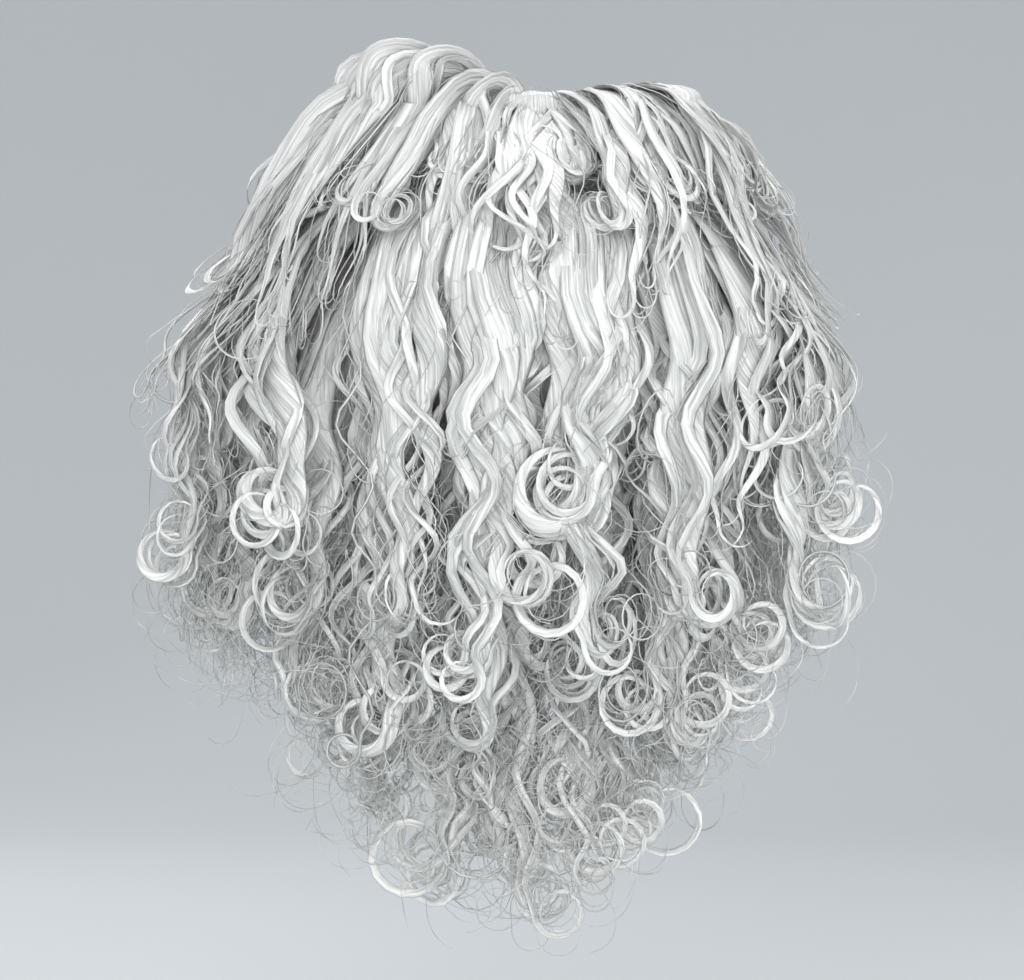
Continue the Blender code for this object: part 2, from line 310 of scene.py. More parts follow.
# Each lock's values for every one of its ribbons or strands, a little apart.
def spreadTubes(clumps, kind, rng):
    each, loose = kind["each"], kind["loose"]
    tubes = {key: np.repeat(value, each) for key, value in clumps.items()}
    total = len(tubes["root"])

    def stray(key):
        least, more = wanders[key]
        return rng.normal(0, 1, total) * (least + more * loose)

    tubes["lateral"] = tubes["lateral"] + rng.normal(0, kind["sideways"], total)
    tubes["depth"] = tubes["depth"] + rng.normal(0, kind["deep"], total)
    tubes["length"] = tubes["length"] * (1 + stray("length"))
    tubes["ring"] = tubes["ring"] * np.exp(stray("ring"))
    tubes["turns"] = np.maximum(tubes["turns"] + stray("turns"), endCurl["leastTurns"])
    tubes["phase"] = tubes["phase"] + stray("phase")
    tubes["wave"] = tubes["wave"] * np.exp(stray("wave")) * kind["swing"]
    tubes["waveLength"] = tubes["waveLength"] * (1 + stray("waveLength"))
    tubes["tipSide"] = tubes["tipSide"] + stray("tipSide")
    tubes["rootSide"] = tubes["rootSide"] + stray("rootSide")
    isOther = rng.uniform(0, 1, total) < wanders["otherHand"] * loose
    tubes["hand"] = np.where(isOther, -tubes["hand"], tubes["hand"])
    tubes["tilt"] = tubes["tilt"] + stray("tilt")
    tubes["twist"] = rng.uniform(*wanders["twist"], total)
    tubes["twistPhase"] = rng.uniform(0, math.tau, total)
    tubes["wander"] = tubes["wander"] + stray("wander")
    tubes["wanderPhase"] = rng.uniform(0, math.tau, total)
    return tubes


# How far the moustache's hair rises over the cloth's edge and stands out from it.
def moustacheLift(at, fall, share):
    isLeft, out = at["share"] < 0, np.abs(at["share"])
    puff = np.where(isLeft, moustacheForm["leftPuff"], moustacheForm["rightPuff"]) * at["puff"]
    ends = (out - moustacheForm["puffEnds"]) / (1 - moustacheForm["puffEnds"])
    puff = puff * ease(moustacheForm["puffFrom"] * out) * (1 - ease(ends))
    reach = np.minimum(at["length"], moustacheForm["puffLength"])
    climb = np.minimum(fall / reach, 1)
    peak = moustacheForm["puffPeak"] * climb * (1 - climb) ** 2
    rise = puff * reach / moustacheForm["puffLength"] * peak
    wide = moustacheForm["sideStand"] * ease(moustacheForm["standFrom"] * out)
    stand = (moustacheForm["stand"] + wide) * ease(fall / moustacheForm["standLength"])
    return rise, stand * mix(1.0, moustacheForm["standTip"], share ** 2)


# Fine centre lines: down from the weft in waves, then round in an end curl.
def centreLines(tier, tubes):
    at = {key: value[:, None] for key, value in tubes.items()}
    curlLength = math.tau * at["turns"] * at["ring"] * (1 - endCurl["shrink"] / 2)
    run = np.linspace(0, 1, hair["fineSteps"])[None, :] * (at["length"] + curlLength)
    fall = np.minimum(run, at["length"])
    share = fall / at["length"]
    across = mix(ease(share), 1 - (1 - share) ** moustacheForm["sweptPower"], at["sweep"])
    side = mix(at["rootSide"], at["tipSide"], across)
    rise, stand = moustacheLift(at, fall, share) if tier["level"] == 3 else (0.0, 0.0)
    height = at["root"] - fall + rise
    full = ease((fall - tier["waveStart"]) / tier["waveSpan"])
    waveLength = at["waveLength"] * mix(waves["rootLength"], 1.0, full)
    angle = at["phase"] + np.cumsum(math.tau / waveLength * np.gradient(fall, axis=1), axis=1)
    grow = mix(waves["rootSize"], 1.0, full) * ease((fall - tier["combed"]) / waves["fadeIn"])
    grow = grow * ease((at["length"] - fall) / waves["fadeOut"])
    shown = ease((tier["seen"] + waves["hiddenFade"] - height) / waves["hiddenFade"])
    wave = at["wave"] * grow * mix(waves["hiddenSize"], 1.0, shown)
    lateral = at["lateral"] * mix(1.0, waves["gather"], share) + wave * np.sin(angle)
    wander = at["wander"] * ease(fall / waves["wanderStart"])
    lateral = lateral + wander * np.sin(fall / waves["wanderLength"] + at["wanderPhase"])
    depth = at["depth"] * ease((fall - tier["combed"]) / waves["depthStart"])
    depth = depth + wave * at["helix"] * np.cos(angle)
    turned = np.clip((run - at["length"]) / curlLength, 0, 1)
    theta = turned * at["turns"] * math.tau
    radius = at["ring"] * (1 - endCurl["shrink"] * turned)
    lateral = lateral + at["hand"] * (at["ring"] - radius * np.cos(theta)) * np.cos(at["tilt"])
    height = height - radius * np.sin(theta)
    depth = depth + radius * (1 - np.cos(theta)) * np.sin(at["tilt"])
    depth = depth + endCurl["forward"] * turned * np.sign(at["helix"])
    offset = np.maximum(layerOffset(tier, side, height) + stand + depth, hair["closest"])
    outward = outwardUnit(side, height)
    points = innerSurface(side, height) + outward * offset[..., None]
    points = points + acrossUnit(side, height) * lateral[..., None]
    seen = ease((tier["seen"] + hair["hiddenLead"] - height) / hair["hiddenSpan"])
    weight = mix(hair["hiddenWeight"], 1.0, seen)
    return points, outward, run, weight * np.where(turned > 0, endCurl["weight"], 1.0)


# Fewer places along each line, closest where it bends most and where it shows.
def thinOut(points, outward, run, weight, steps):
    step = np.diff(points, axis=1)
    heading = unit(step)
    turn = np.arccos(np.clip((heading[:, 1:] * heading[:, :-1]).sum(-1), -1, 1))
    turn = np.concatenate([turn[:, :1], turn], 1)
    cost = np.linalg.norm(step, axis=-1) / hair["stepLength"] + turn / hair["stepTurn"]
    cost = cost * weight[:, 1:]
    place = np.concatenate([np.zeros((len(cost), 1)), np.cumsum(cost, axis=1)], 1)
    wanted = np.linspace(0, 1, steps)
    fine = np.arange(points.shape[1])
    at = np.stack([np.interp(wanted * line[-1], line, fine) for line in place])
    low = np.minimum(at.astype(int), points.shape[1] - 2)
    share = at - low
    row = np.arange(len(points))[:, None]

    def pick(values):
        part = share[..., None] if values.ndim == 3 else share
        return mix(values[row, low], values[row, low + 1], part)

    return pick(points), pick(outward), pick(run)


# The wide side's direction, carried along each line so that it never flips over.
def carryWide(tangent, outward):
    wide = np.empty_like(tangent)
    last = np.stack([outward[:, 0, 1], -outward[:, 0, 0], 0 * outward[:, 0, 0]], -1)
    for step in range(tangent.shape[1]):
        heading = tangent[:, step]
        pull = np.cross(heading, outward[:, step])
        pull = pull * np.where((pull * last).sum(-1, keepdims=True) < 0, -1, 1)
        last = last + hair["facing"] * pull
        last = unit(last - (last * heading).sum(-1, keepdims=True) * heading)
        wide[:, step] = last
    return wide


# A ring of the profile round each place, its wide side across the outward line.
def ringPoints(points, outward, halfWidth, halfThick, twist, profile, carried=False):
    tangent = unit(np.gradient(points, axis=1))
    wide = carryWide(tangent, outward) if carried else unit(np.cross(tangent, outward))
    thick = np.cross(wide, tangent)
    cosTwist, sinTwist = np.cos(twist)[..., None], np.sin(twist)[..., None]
    wide, thick = wide * cosTwist + thick * sinTwist, thick * cosTwist - wide * sinTwist
    profile = profile if profile.ndim == 3 else profile[None]
    return (points[:, :, None, :]
            + wide[:, :, None, :] * (halfWidth[..., None] * profile[:, None, :, 0])[..., None]
            + thick[:, :, None, :] * (halfThick[..., None] * profile[:, None, :, 1])[..., None])


def roundProfile(sides):
    turn = np.arange(sides) / sides * math.tau + math.pi / 2
    return np.stack([np.cos(turn), np.sin(turn)], -1)


# Section of a flat ribbon and of a strand: each range is drawn once for every lock
section = {
    "ribsTo": 0.86, "lens": 0.4, "front": (0.75, 1.25), "back": (0.6, 0.9), "shift": (-0.08, 0.08),
    "tipShare": 0.10, "rootShare": 0.22, "rootFrom": 0.008, "rootTo": 0.03, "gatherSlope": 1.3,
    "twist": 0.5, "twistWave": 0.25, "twistLength": 0.03, "twistFrom": 0.05,
    "strandSpread": 0.4, "strandRange": (0.5, 2.2), "strandTipShare": 0.25, "strandTip": 0.014,
    "strandTwist": 2, "strandTwistLength": 0.04, "strandFlat": 0.5,
}


# Flat sections with uneven ribs, one for each lock.
def ribbedProfiles(count, ribs, rng):
    across = np.linspace(-section["ribsTo"], section["ribsTo"], ribs)
    lens = 1 - section["lens"] * across ** 2
    front = lens * rng.uniform(*section["front"], (count, ribs))
    back = -lens * rng.uniform(*section["back"], (count, ribs))
    shift = rng.uniform(*section["shift"], (count, ribs))
    zero = np.zeros((count, 1))
    x = np.concatenate([zero - 1, across + shift, zero + 1, across[::-1] - shift], 1)
    y = np.concatenate([zero, back, zero, front], 1)
    return np.stack([x, y], -1)


bandProfile = np.array([(-1, 0), (-0.9, -0.9), (0.9, -0.9), (1, 0), (0.9, 0.9), (-0.9, 0.9)])


def ribbonBatch(tier, tubes, kind, rng):
    points, outward, run = thinOut(*centreLines(tier, tubes), int(kind["steps"] * tier["detail"]))
    total = run[:, -1:]
    gather = ease((kind["narrow"] - run / total) / kind["narrow"] * section["gatherSlope"])
    tip = mix(section["tipShare"], 1.0, ease((total - run) / kind["tip"]))
    broad = mix(kind["tipWidth"], kind["rootWidth"] * tier["broad"], gather)
    width = broad / 2 * tubes["width"][:, None] * tip
    grown = mix(section["rootShare"], 1, ease((run - section["rootFrom"]) / section["rootTo"]))
    thick = mix(kind["tipThick"], kind["rootThick"], gather) / 2 * tip * grown
    turning = np.sin(run / section["twistLength"] + tubes["twistPhase"][:, None])
    twist = tubes["twist"][:, None] * section["twist"] + section["twistWave"] * turning
    twist = twist * ease(run / section["twistFrom"])
    profiles = ribbedProfiles(len(run), kind["ribs"], rng)
    rings = ringPoints(points, outward, width, thick, twist, profiles, carried=True)
    return {"rings": rings, "run": run, "girth": width * 4}


def strandBatch(tier, tubes, kind, rng):
    points, outward, run = thinOut(*centreLines(tier, tubes), int(kind["steps"] * tier["detail"]))
    total = run[:, -1:]
    uneven = np.exp(rng.normal(0, section["strandSpread"], (len(run), 1)))
    half = kind["width"] / 2 * np.clip(uneven, *section["strandRange"])
    half = half * mix(section["strandTipShare"], 1.0, ease((total - run) / section["strandTip"]))
    turning = np.sin(run / section["strandTwistLength"] + tubes["twistPhase"][:, None])
    twist = tubes["twist"][:, None] * section["strandTwist"] + turning
    thin = half * section["strandFlat"]
    rings = ringPoints(points, outward, half, thin, twist, roundProfile(3), carried=True)
    return {"rings": rings, "run": run, "girth": half * 4}


# Single fibres that cross the locks in arcs and stray past the outline.
def looseBatch(rng, settings):
    count, steps = settings["count"], settings["steps"]
    tier = tiers["cheek"]
    side = rng.uniform(-1, 1, count)
    isEdge = rng.uniform(0, 1, count) < settings["edgeShare"]
    side = np.where(isEdge, np.sign(side) * rng.uniform(*settings["edgeSide"], count), side)
    keep = 1 - np.abs(side) ** form["taperPower"]
    lowest = mix(form["sideDrop"], form["beardDrop"], keep)
    height = -mix(settings["highest"], lowest, rng.uniform(0, 1, count) ** settings["lowPower"])
    heading = rng.uniform(0, math.tau, (count, 1))
    length = rng.uniform(*settings["length"], (count, 1))
    bend = 1 / rng.uniform(*settings["radius"], (count, 1))
    bend = bend * np.where(rng.uniform(0, 1, (count, 1)) < 0.5, -1, 1)
    run = np.linspace(0, 1, steps)[None, :] * length
    crimp = np.sin(run / settings["crimpLength"] + rng.uniform(0, math.tau, (count, 1)))
    heading = heading + bend * run + settings["crimp"] * crimp
    step = length / (steps - 1)
    lateral = np.cumsum(np.cos(heading) * step, axis=1)
    climb = np.cumsum(np.sin(heading) * step, axis=1)
    lateral, climb = lateral - lateral.mean(1, keepdims=True), climb - climb.mean(1, keepdims=True)
    high = height[:, None] + climb
    sides = np.repeat(side[:, None], steps, 1)
    layer = layerOffset(tier, sides, high) * rng.uniform(*settings["layer"], (count, 1))
    depth = np.sin(run / settings["deepLength"] + rng.uniform(0, math.tau, (count, 1)))
    offset = np.maximum(layer + settings["deep"] * depth, settings["closest"])
    outward = outwardUnit(sides, high)
    points = innerSurface(sides, high) + outward * offset[..., None]
    points = points + acrossUnit(sides, high) * lateral[..., None]
    ends = ease(np.minimum(run, length - run) / settings["endLength"])
    half = settings["thick"] / 2 * mix(settings["endShare"], 1.0, ends)
    rings = ringPoints(points, outward, half, half, 0 * run, roundProfile(3))
    return {"rings": rings, "run": run, "girth": half * 4}


proud = {"share": 0.03, "more": 0.0085}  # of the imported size, and in metres


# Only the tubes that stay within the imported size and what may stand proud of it.
def insideLimits(batch):
    low, high = np.array(cadBox[0]), np.array(cadBox[1])
    room = (high - low) * proud["share"] + proud["more"]
    rings = batch["rings"]
    flat = rings.reshape(len(rings), -1, 3)
    keep = ((flat.min(1) > low - room) & (flat.max(1) < high + room)).all(1)
    return {key: values if key == "across" else values[keep] for key, values in batch.items()}


# A tube's cell in the map: its sides below, its two closed ends in what is left
mapCell = {
    "size": 0.9, "sidesFrom": 0.06, "sidesTo": 0.94,
    "startEnd": 0.03, "lastEnd": 0.97, "endRadius": 0.02,
}


# One mesh of every tube, closed at its ends, with its own map cell and flow values.
def tubeMesh(name, batches, rng):
    batches = [insideLimits(batch) for batch in batches]
    corners, loopIndex, sizes, mapPlaces, flow = [], [], [], [], []
    cells = sum(len(batch["rings"]) for batch in batches)
    columns = int(math.ceil(math.sqrt(cells)))
    size = mapCell["size"] / columns
    start, cell = 0, 0
    for batch in batches:
        count, steps, sides, _ = batch["rings"].shape
        corners.append(batch["rings"].reshape(-1, 3))
        index = start + np.arange(count * steps * sides).reshape(count, steps, sides)
        after = np.roll(index, -1, axis=2)
        quads = np.stack([index[:, :-1], after[:, :-1], after[:, 1:], index[:, 1:]], -1)
        cellIndex = cell + np.arange(count)
        origin = np.stack([cellIndex % columns, cellIndex // columns], -1) / columns
        u = np.broadcast_to(np.arange(sides + 1) / sides * size, (count, steps, sides + 1))
        along = np.linspace(mapCell["sidesFrom"], mapCell["sidesTo"], steps) * size
        v = np.broadcast_to(along[:, None], (count, steps, sides + 1))
        grid = np.stack([u, v], -1) + origin[:, None, None, :]
        quadMap = np.stack([grid[:, :-1, :-1], grid[:, :-1, 1:], grid[:, 1:, 1:], grid[:, 1:, :-1]], 3)
        loopIndex.append(quads.reshape(-1))
        sizes.append(np.full(count * (steps - 1) * sides, 4))
        mapPlaces.append(quadMap.reshape(-1, 2))
        turn = np.arange(sides) / sides * math.tau
        disc = np.stack([np.cos(turn), np.sin(turn)], -1) * size * mapCell["endRadius"]
        ends = ((0, slice(None, None, -1), mapCell["startEnd"]), (steps - 1, slice(None), mapCell["lastEnd"]))
        for end, order, place in ends:
            loopIndex.append(index[:, end, order].reshape(-1))
            sizes.append(np.full(count, sides))
            centre = origin[:, None, :] + np.array([0.5, place]) * size
            mapPlaces.append((centre + disc[order][None]).reshape(-1, 2))
        values = np.empty((count, steps, sides, 3))
        values[..., 0] = batch["girth"][..., None] * np.arange(sides) / sides
        values[..., 1] = batch["run"][:, :, None]
        values[..., 2] = rng.uniform(0, 1, (count, 1, 1))
        if batch.get("across"):
            values = values[..., [1, 0, 2]]
        flow.append(values.reshape(-1, 3))
        start += count * steps * sides
        cell += count
    loopIndex, sizes = np.concatenate(loopIndex), np.concatenate(sizes)
    corners = np.concatenate(corners)
    mesh = bpy.data.meshes.new(name)
    mesh.vertices.add(len(corners))
    mesh.vertices.foreach_set("co", corners.astype(np.float32).ravel())
    mesh.loops.add(len(loopIndex))
    mesh.loops.foreach_set("vertex_index", loopIndex.astype(np.int32))
    mesh.polygons.add(len(sizes))
    mesh.polygons.foreach_set("loop_start", (np.cumsum(sizes) - sizes).astype(np.int32))
    mesh.update(calc_edges=True)
    mapLayer = mesh.uv_layers.new(name="OFBake")
    mapLayer.data.foreach_set("uv", np.concatenate(mapPlaces).astype(np.float32).ravel())
    flowLayer = mesh.attributes.new("flow", "FLOAT_VECTOR", "POINT")
    flowLayer.data.foreach_set("vector", np.concatenate(flow).astype(np.float32).ravel())
    mesh.shade_smooth()
    piece = bpy.data.objects.new(name, mesh)
    bpy.context.scene.collection.objects.link(piece)
    print(name, int((sizes - 2).sum()), "triangles")
    return piece


# Materials
# Linear colour of an sRGB hex value.
def srgb(code):
    parts = [int(code[i:i + 2], 16) / 255 for i in (1, 3, 5)]
    return tuple(p / 12.92 if p <= 0.04045 else ((p + 0.055) / 1.055) ** 2.4 for p in parts) + (1.0,)


def addNode(tree, kind, settings=None, inputs=None, links=None):
    node = tree.nodes.new(kind)
    for key, value in (settings or {}).items():
        setattr(node, key, value)
    for key, value in (inputs or {}).items():
        node.inputs[key].default_value = value
    for key, source in (links or {}).items():
        tree.links.new(source, node.inputs[key])
    return node


def newMaterial(name, roughness, ior):
    material = bpy.data.materials.new(name)
    material.use_nodes = True
    shader = material.node_tree.nodes["Principled BSDF"]
    shader.inputs["Roughness"].default_value = roughness
    shader.inputs["IOR"].default_value = ior
    return material, material.node_tree, shader


def twoTone(tree, source, low, high, start, end):
    ramp = addNode(tree, "ShaderNodeValToRGB", links={"Fac": source})
    ramp.color_ramp.elements[0].position = start
    ramp.color_ramp.elements[0].color = srgb(low)
    ramp.color_ramp.elements[1].position = end
    ramp.color_ramp.elements[1].color = srgb(high)
    return ramp


# shade is painted shade, the grey of the streaks between fibres; light is the fibre's own white
hairLook = {
    "paintedShade": "#B0B3B1", "light": "#FDFDFB", "roughness": 0.30, "ior": 1.52,
    "streak": 0.0009, "run": 0.040, "lockStep": 37.0,  # a streak's width and length, and the shift by lock
    "rampFrom": 0.36, "rampTo": 0.64, "bump": 0.8, "bumpHeight": 0.0009,
}


# Extruded and crimped white modacrylic: silky semi-gloss, streaked along each lock.
# A fibre is about 0.05 mm, so the streaks are drawn 0.9 mm wide to show. The grey of
# the streaks is painted shade between the fibres of a lock, on the fibre's own white.
def modacrylicFibre():
    material, tree, shader = newMaterial("modacrylic_fibre_white", hairLook["roughness"], hairLook["ior"])
    flow = addNode(tree, "ShaderNodeAttribute", {"attribute_name": "flow"})
    scales = (1 / hairLook["streak"], 1 / hairLook["run"], hairLook["lockStep"])
    spread = addNode(tree, "ShaderNodeVectorMath", {"operation": "MULTIPLY"},
                     {1: scales}, {0: flow.outputs["Vector"]})
    streaks = addNode(tree, "ShaderNodeTexNoise", None,
                      {"Scale": 1.0, "Detail": 4.0, "Roughness": 0.68}, {"Vector": spread.outputs[0]})
    # painted shade: grey where the streak noise is low, in the grooves between fibres
    paintedShadeTone = twoTone(tree, streaks.outputs["Fac"], hairLook["paintedShade"], hairLook["light"],
                   hairLook["rampFrom"], hairLook["rampTo"])
    bump = addNode(tree, "ShaderNodeBump", None,
                   {"Strength": hairLook["bump"], "Distance": hairLook["bumpHeight"]},
                   {"Height": streaks.outputs["Fac"]})
    tree.links.new(paintedShadeTone.outputs["Color"], shader.inputs["Base Color"])
    tree.links.new(bump.outputs["Normal"], shader.inputs["Normal"])
    return material


barsPerUnit = math.tau / 20  # a wave texture's scale for one bar in each unit of length

knit = {
    "wale": 0.0013, "course": 0.0010, "paintedShade": "#D5D6D3", "light": "#F2F2EF",
    "rampFrom": 0.05, "rampTo": 0.6, "roughness": 0.88, "sheen": 0.25, "bump": 0.7, "bumpHeight": 0.0004,
}


# Knitted white cotton: matt, with upright wales crossed by finer courses, drawn
# coarser than the real 0.8 mm ones to show. Its colour is darker where the loops sink:
# painted shade in the hollows of the knit.
def cottonJersey():
    material, tree, shader = newMaterial("knitted_cotton_white", knit["roughness"], 1.5)
    flat = addNode(tree, "ShaderNodeAttribute", {"attribute_name": "flow"})
    heights = []
    for direction, pitch in (("X", knit["wale"]), ("Y", knit["course"])):
        wave = addNode(tree, "ShaderNodeTexWave", {"bands_direction": direction, "wave_profile": "SIN"},
                       {"Scale": barsPerUnit / pitch, "Distortion": 0.6, "Detail": 1.0, "Detail Scale": 1.0},
                       {"Vector": flat.outputs["Vector"]})
        heights.append(wave.outputs["Fac"])
    loops = addNode(tree, "ShaderNodeMath", {"operation": "MULTIPLY"}, None, {0: heights[0], 1: heights[1]})
    # painted shade: darker where the loops' height is low, in the knit's hollows
    paintedShadeTone = twoTone(tree, loops.outputs[0], knit["paintedShade"], knit["light"], knit["rampFrom"], knit["rampTo"])
    bump = addNode(tree, "ShaderNodeBump", None, {"Strength": knit["bump"], "Distance": knit["bumpHeight"]},
                   {"Height": loops.outputs[0]})
    tree.links.new(paintedShadeTone.outputs["Color"], shader.inputs["Base Color"])
    tree.links.new(bump.outputs["Normal"], shader.inputs["Normal"])
    shader.inputs["Sheen Weight"].default_value = knit["sheen"]
    return material


weave = {
    "cord": 0.0011, "paintedShade": "#D2D3D1", "light": "#F3F3F1", "roughness": 0.62,
    "rampFrom": 0.1, "rampTo": 0.7, "bump": 0.6, "bumpHeight": 0.0003,
}


# Woven elastic: covered rubber cords along it, a fine weft across, a dull gloss. Its
# colour is darker where the weave sinks: painted shade in its grooves.
def wovenElastic():
    material, tree, shader = newMaterial("woven_elastic_white", weave["roughness"], 1.5)
    flat = addNode(tree, "ShaderNodeAttribute", {"attribute_name": "flow"})
    wave = addNode(tree, "ShaderNodeTexWave", {"bands_direction": "Y", "wave_profile": "SIN"},
                   {"Scale": barsPerUnit / weave["cord"], "Distortion": 0.4, "Detail": 1.0},
                   {"Vector": flat.outputs["Vector"]})
    # painted shade: darker where the weave's height is low, in its grooves
    paintedShadeTone = twoTone(tree, wave.outputs["Fac"], weave["paintedShade"], weave["light"],
                   weave["rampFrom"], weave["rampTo"])
    bump = addNode(tree, "ShaderNodeBump", None, {"Strength": weave["bump"], "Distance": weave["bumpHeight"]},
                   {"Height": wave.outputs["Fac"]})
    tree.links.new(paintedShadeTone.outputs["Color"], shader.inputs["Base Color"])
    tree.links.new(bump.outputs["Normal"], shader.inputs["Normal"])
    return material


fibreMaterial = modacrylicFibre()
clothMaterial = cottonJersey()
elasticMaterial = wovenElastic()


def finish(piece, material, node=None):
    piece.data.materials.append(material)
    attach(piece, "root")
    if node:
        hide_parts(node)


# Length run along a line of places, as a single row.
def runAlong(points):
    steps = np.linalg.norm(np.diff(points, axis=0), axis=-1)
    return np.concatenate([[0], np.cumsum(steps)])[None, :]


# Weft strip of a tier: the sewn band that its hair hangs from.
def weftBatch(tier):
    side = np.linspace(-tier["span"], tier["span"], form["weftPlaces"])[None, :]
    height = weftLine(tier, side)
    outward = outwardUnit(side, height)
    middle = form["cloth"] + form["gap"] + form["weftThick"] / 2
    points = innerSurface(side, height) + outward * middle
    half = np.full(side.shape, form["weftHeight"] / 2)
    rings = ringPoints(points, outward, half, np.full(side.shape, form["weftThick"] / 2), 0 * side, bandProfile)
    return {"rings": rings, "run": runAlong(points[0]), "girth": half * 4}


# Roll of short hair along the cloth's top edge, its fibres lying across it
edgeRoll = {
    "high": 0.015, "thick": 0.0080, "drop": 0.0042, "offset": 0.0054, "steps": 140, "sides": 12,
    "endShare": 0.25, "endFrom": 0.05, "uneven": 0.13, "waves": (31, 17), "girth": 3.2,
}


def rollBatch(tier):
    side = np.linspace(-tier["span"], tier["span"], edgeRoll["steps"])[None, :]
    outward = outwardUnit(side, topEdge(side))
    points = innerSurface(side, topEdge(side) - edgeRoll["drop"]) + outward * edgeRoll["offset"]
    ends = ease((1 - np.abs(side) / tier["span"]) / edgeRoll["endFrom"])
    first, second = edgeRoll["waves"]
    uneven = np.sin(side * first) * np.sin(side * second + 1)
    taper = mix(edgeRoll["endShare"], 1.0, ends) * (1 + edgeRoll["uneven"] * uneven)
    high, thick = edgeRoll["high"] / 2 * taper, edgeRoll["thick"] / 2 * taper
    rings = ringPoints(points, outward, high, thick, 0 * side, roundProfile(edgeRoll["sides"]))
    return {"rings": rings, "run": runAlong(points[0]), "girth": edgeRoll["girth"] * high, "across": True}


ringletSpread = {"each": 2, "loose": 0.2, "sideways": 0.003}  # more ribbons for each big curl


for name, tier in tiers.items():
    rng = np.random.RandomState(tier["seed"])
    clumps = planClumps(name, tier, rng)
    curls = {key: values[:len(bigCurls[name])] for key, values in clumps.items()}
    satin = spreadTubes(clumps, kinds["satin"], rng)
    ringlets = spreadTubes(curls, dict(kinds["satin"], **ringletSpread), rng)
    fine = dict(kinds["strand"], each=tier["strand"])
    batches = [
        weftBatch(tier),
        ribbonBatch(tier, spreadTubes(clumps, kinds["mass"], rng), kinds["mass"], rng),
        ribbonBatch(tier, satin, kinds["satin"], rng),
        ribbonBatch(tier, ringlets, kinds["satin"], rng),
        strandBatch(tier, spreadTubes(clumps, fine, rng), fine, rng),
        strandBatch(tier, spreadTubes(clumps, kinds["stray"], rng), kinds["stray"], rng),
    ]
    if tier["level"] == 3:
        batches.append(rollBatch(tier))
    finish(tubeMesh(name + "Hair", batches, rng), fibreMaterial, tier["node"])

looseFibres = {
    "count": 800, "steps": 22, "highest": 0.16, "length": (0.05, 0.15), "radius": (0.009, 0.030),
    "edgeShare": 0.3, "edgeSide": (0.8, 1.0), "lowPower": 0.6, "crimp": 0.6, "crimpLength": 0.018,
    "layer": (0.25, 1.05), "deep": 0.005, "deepLength": 0.02, "closest": 0.004,
    "thick": 0.00045, "endShare": 0.4, "endLength": 0.01,
}
rng = np.random.RandomState(21)
finish(tubeMesh("looseFibres", [looseBatch(rng, looseFibres)], rng), fibreMaterial)


# Cloth face piece, its bound edges and its stitches
facePiece = {
    "columns": 110, "rows": 34, "flat": (0.276, 0.080), "thinner": 0.0001,  # than the solid's cloth
    "mouthWidth": 0.050, "mouthHeight": 0.011, "mouthDrop": 0.020, "mouthSides": 64,
    "bindingWidth": 0.0050, "bindingThick": 0.0030, "mouthBinding": 0.0030, "mouthMargin": 0.001,
}
stitch = {"length": 0.0022, "thick": 0.0006, "bow": -0.0003, "edgeDepth": -0.0008, "weftDepth": -0.0001,
          "rowShift": 0.0022, "inRow": 56, "edgePlaces": 180, "mouthPlaces": 72}


# Bends a flat grid of -1 to 1 to the face, and keeps its flat place in metres.
def wrapGrid(grid):
    mesh = grid.data
    corners = np.empty(len(mesh.vertices) * 3)
    mesh.vertices.foreach_get("co", corners)
    corners = corners.reshape(-1, 3)
    side, up = corners[:, 0], (corners[:, 1] + 1) / 2
    height = mix(bottomEdge(side), topEdge(side), up)
    mesh.vertices.foreach_set("co", innerSurface(side, height).ravel())
    flat = np.stack([side * facePiece["flat"][0] / 2, height, 0 * side], -1)
    layer = mesh.attributes.new("flow", "FLOAT_VECTOR", "POINT")
    layer.data.foreach_set("vector", flat.astype(np.float32).ravel())
    mesh.update()


def applyModifier(piece, name, kind, **settings):
    modifier = piece.modifiers.new(name, kind)
    for key, value in settings.items():
        setattr(modifier, key, value)
    bpy.ops.object.select_all(action="DESELECT")
    piece.select_set(True)
    bpy.context.view_layer.objects.active = piece
    bpy.ops.object.modifier_apply(modifier=modifier.name)


def addFacePiece():
    bpy.ops.object.select_all(action="DESELECT")
    bpy.ops.mesh.primitive_grid_add(x_subdivisions=facePiece["columns"], y_subdivisions=facePiece["rows"],
                                    size=2)
    face = bpy.context.object
    face.name = "facePiece"
    wrapGrid(face)
    applyModifier(face, "cloth", "SOLIDIFY", thickness=form["cloth"] - facePiece["thinner"], offset=-1)
    bpy.ops.object.select_all(action="DESELECT")
    bpy.ops.mesh.primitive_cylinder_add(vertices=facePiece["mouthSides"], radius=0.5, depth=0.05,
                                        location=(0, 0, -facePiece["mouthDrop"]),
                                        rotation=(math.pi / 2, 0, 0),
                                        scale=(facePiece["mouthWidth"], facePiece["mouthHeight"], 1))
    mouth = bpy.context.object
    mouth.name = "mouthCut"
    applyModifier(face, "mouth", "BOOLEAN", operation="DIFFERENCE", solver="EXACT", object=mouth)
    bpy.data.objects.remove(mouth)
    face.data.shade_smooth()
    face.data.materials.clear()
    return face


# One tube or more along lines of places, as a batch.
def sweep(points, outward, width, thick, profile):
    half = np.full(points.shape[:2], width / 2)
    run = np.linalg.norm(np.diff(points, axis=1), axis=-1)
    run = np.concatenate([np.zeros((len(points), 1)), np.cumsum(run, axis=1)], 1)
    rings = ringPoints(points, outward, half, np.full(half.shape, thick / 2), 0 * half, profile)
    return {"rings": rings, "run": run, "girth": half * 4}


# Side and height round the face piece's edge, once round.
def edgeLine(count):
    side = np.linspace(-1, 1, count)
    up = np.linspace(0, 1, count // 6)
    sides = np.concatenate([side, np.ones(len(up) - 2), side[::-1], -np.ones(len(up) - 1)])
    right = mix(bottomEdge(1.0), topEdge(1.0), up[::-1][1:-1])
    left = mix(bottomEdge(-1.0), topEdge(-1.0), up[1:])
    heights = np.concatenate([topEdge(side), right, bottomEdge(side[::-1]), left])
    return sides, heights


